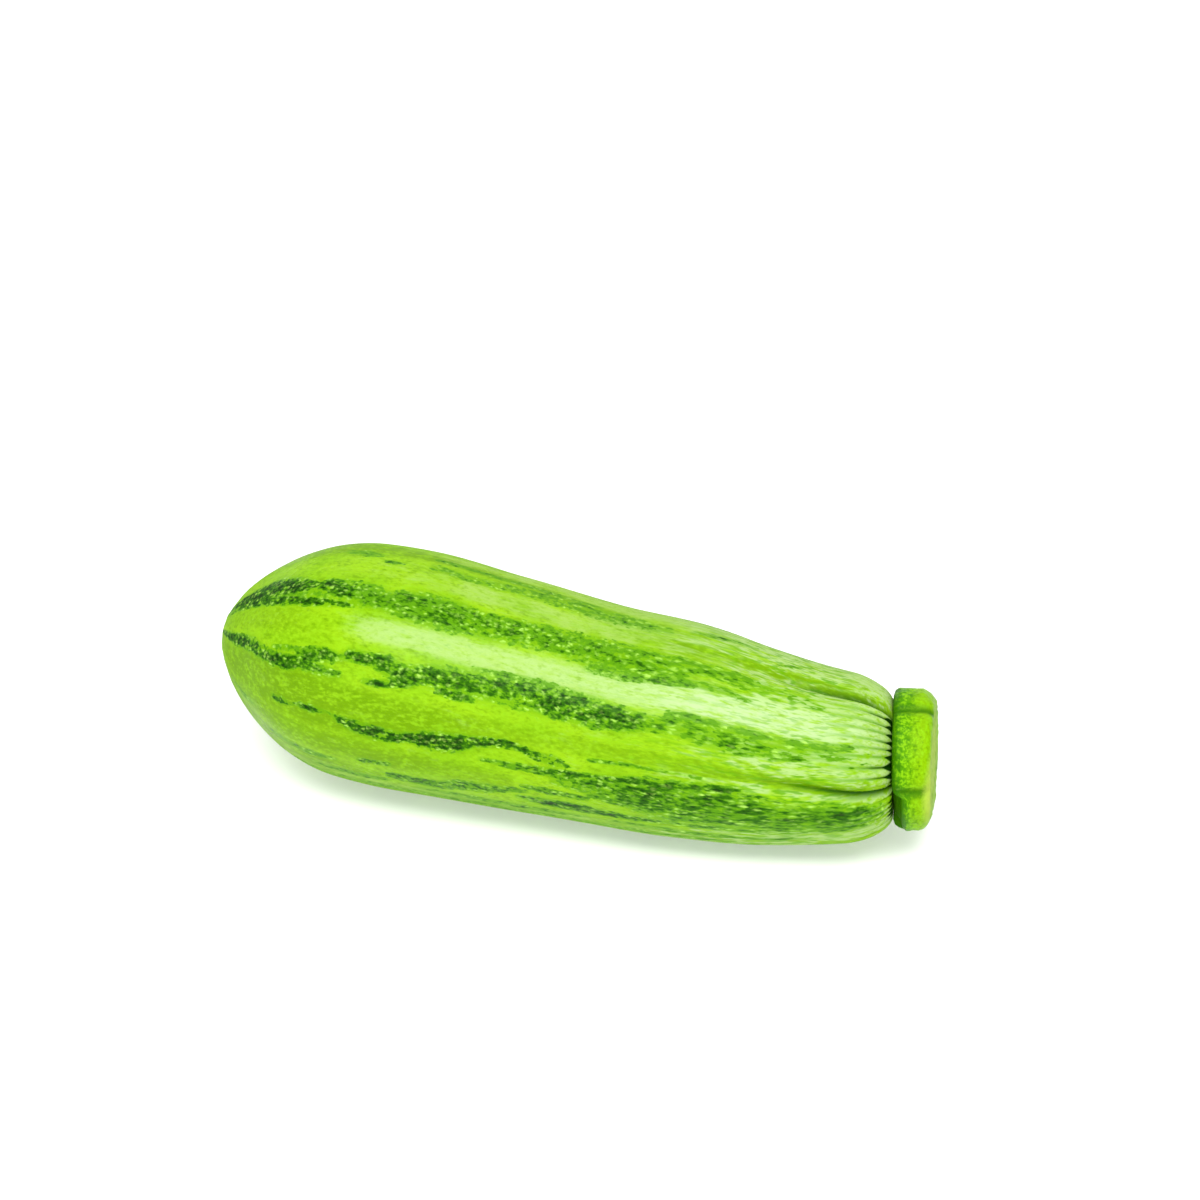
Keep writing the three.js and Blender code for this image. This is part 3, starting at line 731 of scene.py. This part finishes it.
def make_stem():
    radius_line, along_line = stem_rings()
    radius, angle = np.meshgrid(radius_line, angles_around(STEM_AROUND), indexing="ij")
    out = np.broadcast_to(along_line[:, None], radius.shape)
    last_side = STEM_SIDE_RINGS - 1
    on_face = np.zeros_like(radius)
    on_face[STEM_SIDE_RINGS:] = 1
    on_side = smoothstep(radius, 11, 13.6) * (1 - on_face)
    on_foot = smoothstep(radius, 10, 13) * (1 - on_face)
    on_edge = np.exp(-(((out - along_line[last_side]) / EDGE_WIDTH) ** 2)) * (1 - on_face)
    share_out = radius / radius_line[last_side]
    spokes = np.stack((out, radius * np.cos(angle), radius * np.sin(angle)), axis=-1)
    groove = crease_at(angle, radius, GROOVE_HALF_WIDTH)
    hollow = crease_at(angle, radius, HOLLOW_HALF_WIDTH)
    lobes = LOBE_HEIGHT - GROOVE_DEPTH * groove - HOLLOW_DEPTH * hollow
    fleshy = 0.16 * noise_at(spokes * (0.7, 1, 1), 0.55, 11) + 0.07 * noise_at(spokes, 1.5, 12)
    grown = radius + lobes * np.where(on_face > 0, share_out**6, on_side) + fleshy * on_side
    strands, face = cut_face(share_out, spokes, angle)
    out = out + on_face * face + on_edge * EDGE_ROUGHNESS * noise_at(spokes, 0.9, 15)
    slant = -CUT_SLANT_BACK * grown * np.cos(angle) + CUT_SLANT_UP * grown * np.sin(angle)
    along = STEM_FOOT + out + slant * np.clip(out / STEM_LENGTH, 0, 1.1)
    notch = between(off_front(angle), *NOTCH_ANGLES, 5.0) * on_foot
    along = along + NOTCH_DEPTH * notch * (1 - smoothstep(out, 0.5, 4.5))
    upward = grown * np.cos(angle - WORN_TOWARDS)
    for level, (start, end, depth) in ((-upward, WORN_LOW), (upward, WORN_HIGH)):
        along = along - depth * smoothstep(level, start, end) * smoothstep(out, 3.5, 8)
    drop = RIND_DROP * np.exp(-((off_front(angle) / 42) ** 2))
    grid = lay_along_axis(along, angle, grown)
    grid[0] = grid[0].mean(axis=0)
    grid[-1] = grid[-1].mean(axis=0)
    fields = {
        "cut": out - RIND_END + drop + FLESH_REACH * on_face * (1 - share_out),
        "out": out,
        # Also where the painted shade of the grooves goes.
        "groove": groove * on_side + groove * on_face * share_out**8,
        "hub": share_out,
        "strand": strands,
        "grain": spokes,
    }
    places = arc_places(radius_line, along_line)
    return closed_skin("stem_stub", grid + REST_OFFSET, places, fields)


# ---------------- materials

def linear(red, green, blue):
    """A display colour, 0 to 255, as the linear colour that a shader takes."""
    shares = [channel / 255 for channel in (red, green, blue)]
    return tuple(s / 12.92 if s <= 0.04045 else ((s + 0.055) / 1.055) ** 2.4 for s in shares) + (1.0,)


class Look:
    """A material under construction: each method adds one node and gives its output socket."""

    def __init__(self, name):
        self.material = bpy.data.materials.new(name)
        self.material.use_nodes = True
        self.tree = self.material.node_tree
        self.shader = self.tree.nodes["Principled BSDF"]

    def node(self, kind, inputs=(), **settings):
        made = self.tree.nodes.new(kind)
        for key, value in settings.items():
            setattr(made, key, value)
        for key, value in dict(inputs).items():
            self.feed(made.inputs[key], value)
        return made

    def feed(self, socket, value):
        if isinstance(value, bpy.types.NodeSocket):
            self.tree.links.new(value, socket)
        else:
            socket.default_value = value

    def field(self, name, output="Fac"):
        return self.node("ShaderNodeAttribute", attribute_name=name).outputs[output]

    def stretched(self, vector, scale, shift=(0, 0, 0)):
        made = self.node("ShaderNodeMapping", {"Vector": vector, "Scale": scale, "Location": shift})
        return made.outputs["Vector"]

    def noise(self, vector, scale, detail=2.0, roughness=0.5):
        sockets = {"Vector": vector, "Scale": scale, "Detail": detail, "Roughness": roughness}
        return self.node("ShaderNodeTexNoise", sockets).outputs["Fac"]

    def warped(self, vector, scale, amount):
        """The vector pushed about by noise, so that what is drawn on it loses its regular shapes."""
        push = self.node("ShaderNodeTexNoise", {"Vector": vector, "Scale": scale, "Detail": 1.0})
        sockets = {0: push.outputs["Color"], 1: (amount, amount, amount), 2: vector}
        return self.node("ShaderNodeVectorMath", sockets, operation="MULTIPLY_ADD").outputs[0]

    def cells(self, vector, scale):
        return self.node("ShaderNodeTexVoronoi", {"Vector": vector, "Scale": scale}).outputs

    def dots(self, vector, scale, radius):
        """Scattered round dots, each of its own strength."""
        found = self.cells(vector, scale)
        chance = self.node("ShaderNodeSeparateColor", {"Color": found["Color"]}).outputs["Red"]
        return self.times(self.step(found["Distance"], radius, 0), self.step(chance, 0.1, 1.0))

    def math(self, operation, *values):
        made = self.node("ShaderNodeMath", operation=operation)
        for socket, value in zip(made.inputs, values):
            self.feed(socket, value)
        return made.outputs[0]

    def chain(self, operation, values):
        total = values[0]
        for value in values[1:]:
            total = self.math(operation, total, value)
        return total

    def add(self, *values):
        return self.chain("ADD", values)

    def times(self, *values):
        return self.chain("MULTIPLY", values)

    def step(self, value, low, high, start=0.0, end=1.0):
        """Rises smoothly from start to end as value goes from low to high."""
        sockets = {"Value": value, "From Min": low, "From Max": high, "To Min": start, "To Max": end}
        return self.node("ShaderNodeMapRange", sockets, interpolation_type="SMOOTHSTEP").outputs[0]

    def spread(self, value, amount):
        """Turns a noise value round 0.5 into one round 0, times amount."""
        return self.math("MULTIPLY_ADD", value, amount, -0.5 * amount)

    def mix(self, factor, first, second):
        made = self.node("ShaderNodeMix", data_type="RGBA")
        self.feed(made.inputs[0], factor)
        self.feed(made.inputs[6], first)
        self.feed(made.inputs[7], second)
        return made.outputs[2]

    def over(self, below, colour, *factors):
        """A colour laid over what is below, as much as the factors say together."""
        return self.mix(self.times(*factors), below, colour)

    def surface(self, **sockets):
        for key, value in sockets.items():
            self.feed(self.shader.inputs[key.replace("_", " ")], value)

    def living_surface(self, colour, roughness, height, depth, glint):
        """A moist plant's skin, with fine relief whose full height lifts it by depth millimetres."""
        bump = self.node("ShaderNodeBump", {"Height": height, "Distance": depth * UNIT})
        self.surface(Base_Color=colour, Roughness=roughness, Normal=bump.outputs["Normal"])
        self.surface(IOR=PLANT_IOR, Specular_IOR_Level=glint, Specular_Tint=GLINT_TINT)


PLANT_IOR = 1.45
GLINT_TINT = (0.95, 1.0, 0.8, 1.0)

SKIN_GREEN = linear(116, 166, 8)
SKIN_YELLOW = linear(132, 178, 14)
# Also the colour of the painted highlight and painted reflection.
SKIN_PALE_AND_HIGHLIGHT = linear(148, 182, 86)
# The white of the painted highlight.
SKIN_HIGHLIGHT_WHITE = linear(164, 192, 130)
# Also the colour of painted shade on the nose and underside.
SKIN_DEEP_AND_SHADE = linear(94, 138, 0)
SKIN_BRIGHT = linear(142, 194, 24)
STRIPE_EDGE = linear(88, 146, 2)
STRIPE_MIDDLE = linear(80, 136, 8)
STRIPE_DARK = linear(40, 92, 0)
STRIPE_DARKEST = linear(14, 52, 0)
STRIPE_SPECK = linear(158, 206, 82)
# Painted shade in the creases.
CREASE_SHADE_GREEN = linear(20, 78, 0)
# Painted shade in the slits and round the seat.
SLIT_SHADE_GREEN = linear(12, 50, 0)
SCAR_BROWN = linear(128, 108, 62)
SCAR_PALE = linear(182, 168, 116)
SKIN_ROUGHNESS = 0.25
SKIN_GLINT = 0.07
SKIN_BUMP = 0.1

# Sizes of the skin's noises, in waves per millimetre across it.
BROAD_SCALE = 0.2
PATCH_SCALE = 0.34
DASH_SCALE = 0.8
TOOTH_SCALE = 1.7
STREAK_SCALE = 1.3
LINE_SCALE = 2.2
CORK_SCALE = 1.4
GRANULE_SCALE = 1.2
# Radii as shares of the width of a granule's cell.
GRANULE_RADIUS = 0.52
SPECK_RADIUS = 0.62


class SkinLook(Look):
    """The skin's material. Noises of several sizes break up the fields of its mesh."""

    def __init__(self):
        super().__init__("zucchini_skin")
        self.grain = self.field("grain", "Vector")
        self.stripe = self.field("stripe")
        self.neck = self.step(self.field("share"), 0.55, 0.9)
        self.broad = self.noise(self.stretched(self.grain, (0.7, 1, 1)), BROAD_SCALE)
        self.patches = self.noise(self.grain, PATCH_SCALE, roughness=0.55)
        self.dashes = self.noise(self.grain, DASH_SCALE, roughness=0.6)
        self.teeth = self.noise(self.grain, TOOTH_SCALE, roughness=0.6)
        streaky = self.stretched(self.grain, (0.45, 1, 1), (2, 9, 4))
        self.streaks = self.noise(streaky, STREAK_SCALE, roughness=0.6)
        crumbled = self.warped(self.stretched(self.grain, (1.3, 1, 1)), 1.1, 1.1)
        granules = self.cells(crumbled, GRANULE_SCALE)["Distance"]
        self.granular = self.math("SUBTRACT", GRANULE_RADIUS, granules)

    def changing(self, value, on_body, on_neck):
        return self.times(value, self.step(self.neck, 0, 1, on_body, on_neck))

    def stripe_mask(self):
        """The ragged stripes, which break up into thin dashes on the neck."""
        clumps = self.add(
            self.changing(self.spread(self.patches, 1.3), 1.0, 0.6),
            self.changing(self.spread(self.dashes, 2.9), 1.0, 1.1),
            self.changing(self.spread(self.teeth, 1.6), 1.0, 1.4),
            self.changing(self.granular, 0.5, 0.3),
        )
        value = self.add(self.stripe, self.times(clumps, self.step(self.stripe, 0.0, 0.3)))
        return self.step(value, 0.3, 0.56)

    def plain_skin(self):
        """Between the stripes: soft mottling, then darker and paler runs with painted shade and
        highlight in them.
        """
        plain = self.mix(self.step(self.broad, 0.32, 0.68), SKIN_GREEN, SKIN_YELLOW)
        uneven = self.add(self.spread(self.broad, 0.7), self.spread(self.dashes, 0.5))
        # Darker green runs, with painted shade on the nose and underside.
        deeper_and_shade = self.step(self.add(self.field("deeper_and_shade"), uneven), 0.1, 1.0)
        plain = self.over(plain, SKIN_DEEP_AND_SHADE, deeper_and_shade, 0.85)
        freckles = self.add(self.times(self.teeth, 0.55), self.times(self.dashes, 0.5))
        freckles = self.add(freckles, self.times(self.granular, 0.1))
        plain = self.over(plain, SKIN_BRIGHT, self.step(freckles, 0.48, 0.7), 0.6)
        plain = self.over(plain, SKIN_DEEP_AND_SHADE, self.step(freckles, 0.53, 0.33), 0.7)
        streaky = self.times(self.spread(self.streaks, 2.2), self.add(self.neck, 0.35))
        uneven = self.add(uneven, self.spread(self.patches, 0.8), streaky)
        # Paler runs: painted highlight along the lit band and painted reflection on top, besides the
        # skin's own paler runs.
        paler = self.step(self.add(self.field("paler"), uneven), 0.1, 1.0)
        freckled = self.step(freckles, 0.34, 0.6, 0.5, 0.86)
        plain = self.over(plain, SKIN_PALE_AND_HIGHLIGHT, paler, freckled)
        # A painted whitish highlight laid over the plain skin.
        return self.mix(self.painted_highlight(paler), plain, SKIN_HIGHLIGHT_WHITE)

    def painted_highlight(self, paler):
        """A painted whitish highlight: along its stroke, and thinly on the pale parts of the neck."""
        thin = self.times(self.step(paler, 0.4, 1.0), self.step(self.neck, 0.05, 0.6), 0.5)
        ragged = self.step(self.add(self.streaks, self.spread(self.teeth, 0.5)), 0.25, 0.65)
        return self.times(self.add(thin, self.times(self.field("highlight_stroke"), 0.6)), ragged)

    def green_lines(self):
        """Thin lines along the neck, and those between the riblets."""
        drawn_out = self.stretched(self.grain, (0.28, 1, 1), (7, 1, 3))
        lines = self.noise(drawn_out, LINE_SCALE, detail=1.0)
        lined = self.step(self.add(lines, self.spread(self.dashes, 0.8)), 0.49, 0.68)
        lined = self.times(lined, self.neck, self.step(self.field("highlight_stroke"), 0, 1, 0.9, 0.45))
        lined = self.times(lined, self.step(self.field("share"), 0.9, 0.97, 1.0, 0.2))
        valley = self.times(self.field("valley"), self.step(self.streaks, 0.35, 0.6, 0.35, 0.85))
        return self.math("MAXIMUM", lined, valley)

    def beside_stripes(self):
        """Close to a stripe the plain skin is already a little greener."""
        ragged = self.add(self.spread(self.dashes, 0.5), self.spread(self.teeth, 0.5))
        return self.times(self.step(self.add(self.stripe, ragged), 0.04, 0.4), 0.6)

    def striped(self, plain):
        """Stripes over it: granules of dark green, with mid green and pale specks between them."""
        mask = self.stripe_mask()
        depth = self.times(self.stripe, self.add(0.34, self.times(self.field("dark"), 0.5)))
        depth = self.add(depth, self.spread(self.patches, 0.7), self.spread(self.dashes, 1.4))
        depth = self.add(depth, self.spread(self.teeth, 1.3), self.times(self.granular, 0.5))
        colour = self.mix(mask, plain, STRIPE_MIDDLE)
        colour = self.over(colour, STRIPE_DARK, self.step(depth, 0.4, 0.75), mask)
        colour = self.over(colour, STRIPE_DARKEST, self.step(depth, 0.72, 1.1), mask)
        scattered = self.warped(self.stretched(self.grain, (1.3, 1, 1), (4, 2, 6)), 1.5, 0.9)
        specks = self.dots(scattered, GRANULE_SCALE, SPECK_RADIUS)
        clusters = self.add(self.dashes, self.spread(self.teeth, 0.5))
        clustered = self.step(clusters, 0.62, 0.38, 0.3, 1.0)
        specks = self.times(specks, self.step(self.stripe, 0.1, 0.4), clustered)
        return self.mix(specks, colour, STRIPE_SPECK)


def skin_look():
    look = SkinLook()
    plain = look.mix(look.green_lines(), look.plain_skin(), STRIPE_EDGE)
    colour = look.striped(look.mix(look.beside_stripes(), plain, STRIPE_EDGE))
    # Painted shade in the creases and in the slits between the riblets of the shoulder.
    colour = look.over(colour, CREASE_SHADE_GREEN, look.field("crease"), 0.95)
    colour = look.mix(look.step(look.field("slit_shade"), 0.25, 0.9), colour, SLIT_SHADE_GREEN)
    # The corky scar at the blossom end.
    scar = look.field("scar")
    cork = look.noise(look.grain, CORK_SCALE, 4.0, 0.65)
    corky = look.mix(look.step(cork, 0.38, 0.64), SCAR_BROWN, SCAR_PALE)
    colour = look.mix(scar, colour, corky)
    rough = look.add(look.spread(look.dashes, 0.16), look.spread(look.patches, 0.1), SKIN_ROUGHNESS)
    rough = look.add(rough, look.times(look.field("matt"), 0.4), look.times(scar, 0.2))
    height = look.add(look.patches, look.times(look.dashes, 0.6), look.times(look.granular, 0.2))
    height = look.add(height, look.times(cork, scar, 2.0))
    look.living_surface(colour, rough, height, SKIN_BUMP, SKIN_GLINT)
    return look.material


STEM_GREEN = linear(72, 134, 0)
STEM_LIGHT = linear(126, 184, 12)
# For darker flecks, and for painted shade at the foot and in the grooves.
STEM_DARK_AND_SHADE = linear(44, 98, 0)
STEM_YELLOW = linear(120, 166, 0)
FLESH_PALE = linear(160, 186, 84)
FLESH_GREEN = linear(140, 174, 56)
FLESH_RIM = linear(164, 190, 66)
STRAND_GREEN = linear(108, 152, 42)
CUT_BROWN = linear(128, 110, 50)
STEM_ROUGHNESS = 0.42
STEM_GLINT = 0.06
STEM_BUMP = 0.12
FLECK_SCALE = 1.0
FINE_SCALE = 2.1
FLESH_SCALE = 0.9


def rind_colour(look, flecks, fine):
    """Green at the foot to yellow green at the cut, flecked lighter and darker, with painted shade at
    the foot and in the grooves.
    """
    out = look.field("out")
    upwards = look.step(look.add(out, look.spread(flecks, 5.0)), 1.5, 6.5)
    rind = look.mix(upwards, STEM_GREEN, STEM_YELLOW)
    bright = look.step(look.add(flecks, look.spread(fine, 0.9)), 0.45, 0.66)
    rind = look.over(rind, STEM_LIGHT, bright, 0.75)
    sunken = look.step(look.add(flecks, look.spread(fine, 0.4)), 0.46, 0.28)
    rind = look.over(rind, STEM_DARK_AND_SHADE, sunken, 0.45)
    # Painted shade on the foot, in the gap by the fruit's shoulder.
    foot_shade = look.step(look.add(out, look.spread(flecks, 3.0)), 2.4, 0.2)
    rind = look.over(rind, STEM_DARK_AND_SHADE, foot_shade, 0.85)
    # Painted shade in the grooves between the lobes.
    return look.over(rind, STEM_DARK_AND_SHADE, look.field("groove"), 0.85)


def flesh_colour(look, grain, fine):
    """Pale flesh with a ring of green strands, brown spots and a paler rim under the rind."""
    hub = look.field("hub")
    blotches = look.noise(grain, FLESH_SCALE, 3.0, 0.6)
    flesh = look.mix(look.step(blotches, 0.35, 0.65), FLESH_GREEN, FLESH_PALE)
    ring = look.times(look.step(hub, 0.5, 0.62), look.step(hub, 0.82, 0.7))
    strands = look.step(look.add(look.field("strand"), look.spread(fine, 1.2)), 0.2, 0.8)
    flesh = look.over(flesh, STRAND_GREEN, ring, strands, 0.7)
    flesh = look.over(flesh, CUT_BROWN, look.step(blotches, 0.6, 0.74), 0.5)
    return look.over(flesh, FLESH_RIM, look.step(hub, 0.8, 0.96), 0.9)


def stem_look():
    look = Look("stem_rind")
    grain = look.field("grain", "Vector")
    flecks = look.noise(grain, FLECK_SCALE, 3.0, 0.6)
    fine = look.noise(grain, FINE_SCALE, 2.0, 0.6)
    cut = look.step(look.add(look.field("cut"), look.spread(fine, 1.0)), -0.2, 2.0)
    colour = look.mix(cut, rind_colour(look, flecks, fine), flesh_colour(look, grain, fine))
    rough = look.add(look.spread(fine, 0.2), look.times(cut, 0.3), STEM_ROUGHNESS)
    height = look.add(flecks, look.times(fine, 0.6))
    look.living_surface(colour, rough, height, STEM_BUMP, STEM_GLINT)
    return look.material


# ---------------- stage, lights and camera

# The stage and the lights are measured in metres.
FLOOR_REACH = 4.0
FLOOR_WHITE = (0.96, 0.96, 0.96, 1.0)
ROOM_WHITE = (0.97, 0.95, 1.0, 1.0)
ROOM_STRENGTH = 0.65
LIGHT_TARGET = Vector((0, 0, 0.025))
# The key light's direction, distance and size. Part of its light casts no shadow.
KEY = ((0.12, -0.42, 0.87), 0.7, (0.6, 0.3))


def make_floor():
    mesh = bpy.data.meshes.new("floor")
    signs = ((-1, -1), (1, -1), (1, 1), (-1, 1))
    corners = [(x * FLOOR_REACH, y * FLOOR_REACH, 0) for x, y in signs]
    mesh.from_pydata(corners, [], [(0, 1, 2, 3)])
    floor = in_scene("floor", mesh)
    look = Look("pale_floor")
    look.surface(Base_Color=FLOOR_WHITE, Roughness=0.9, Specular_IOR_Level=0.1)
    mesh.materials.append(look.material)


def aim(thing, place, target):
    thing.location = place
    thing.rotation_mode = "QUATERNION"
    thing.rotation_quaternion = (target - place).to_track_quat("-Z", "Y")


def make_area_light(name, direction, distance, size, watts, shadow=True):
    light = bpy.data.lights.new(name, "AREA")
    light.shape = "RECTANGLE"
    light.size, light.size_y = size
    light.energy = watts
    light.use_shadow = shadow
    place = LIGHT_TARGET + Vector(direction).normalized() * distance
    aim(in_scene(name, light), place, LIGHT_TARGET)


def light_studio():
    make_area_light("key", *KEY, 4.3)
    make_area_light("key_fill", *KEY, 1.4, shadow=False)
    make_area_light("front", (-0.1, -0.93, 0.35), 1.1, (1.8, 0.7), 5.0)
    make_area_light("back", (0, 0.6, 0.8), 1.2, (1.8, 1.2), 5.0, shadow=False)
    world = bpy.data.worlds.new("white_room")
    world.use_nodes = True
    background = world.node_tree.nodes["Background"]
    background.inputs["Color"].default_value = ROOM_WHITE
    background.inputs["Strength"].default_value = ROOM_STRENGTH
    bpy.context.scene.world = world


# Angles as in the photograph. Distance and target are drawn millimetres.
CAMERA_AZIMUTH = math.radians(16.77)
CAMERA_ELEVATION = math.radians(33)
CAMERA_DISTANCE = 456.1
CAMERA_TARGET = (6.7, 0, 51.1)
CAMERA_FIELD = math.radians(30)


def make_camera():
    camera = in_scene("camera", bpy.data.cameras.new("camera"))
    back = Vector((
        math.sin(CAMERA_AZIMUTH) * math.cos(CAMERA_ELEVATION),
        -math.cos(CAMERA_AZIMUTH) * math.cos(CAMERA_ELEVATION),
        math.sin(CAMERA_ELEVATION),
    ))
    target = Vector(CAMERA_TARGET) * UNIT
    aim(camera, target + back * CAMERA_DISTANCE * UNIT, target)
    camera.data.angle = CAMERA_FIELD
    bpy.context.scene.camera = camera


# ---------------- the scene

def dress(piece, material, node):
    piece.data.materials.append(material)
    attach(piece, "root")
    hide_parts(node)


make_camera()
dress(make_fruit(), skin_look(), "fruit")
dress(make_stem(), stem_look(), "stem")
make_floor()
light_studio()
bpy.context.scene.view_settings.view_transform = "Standard"
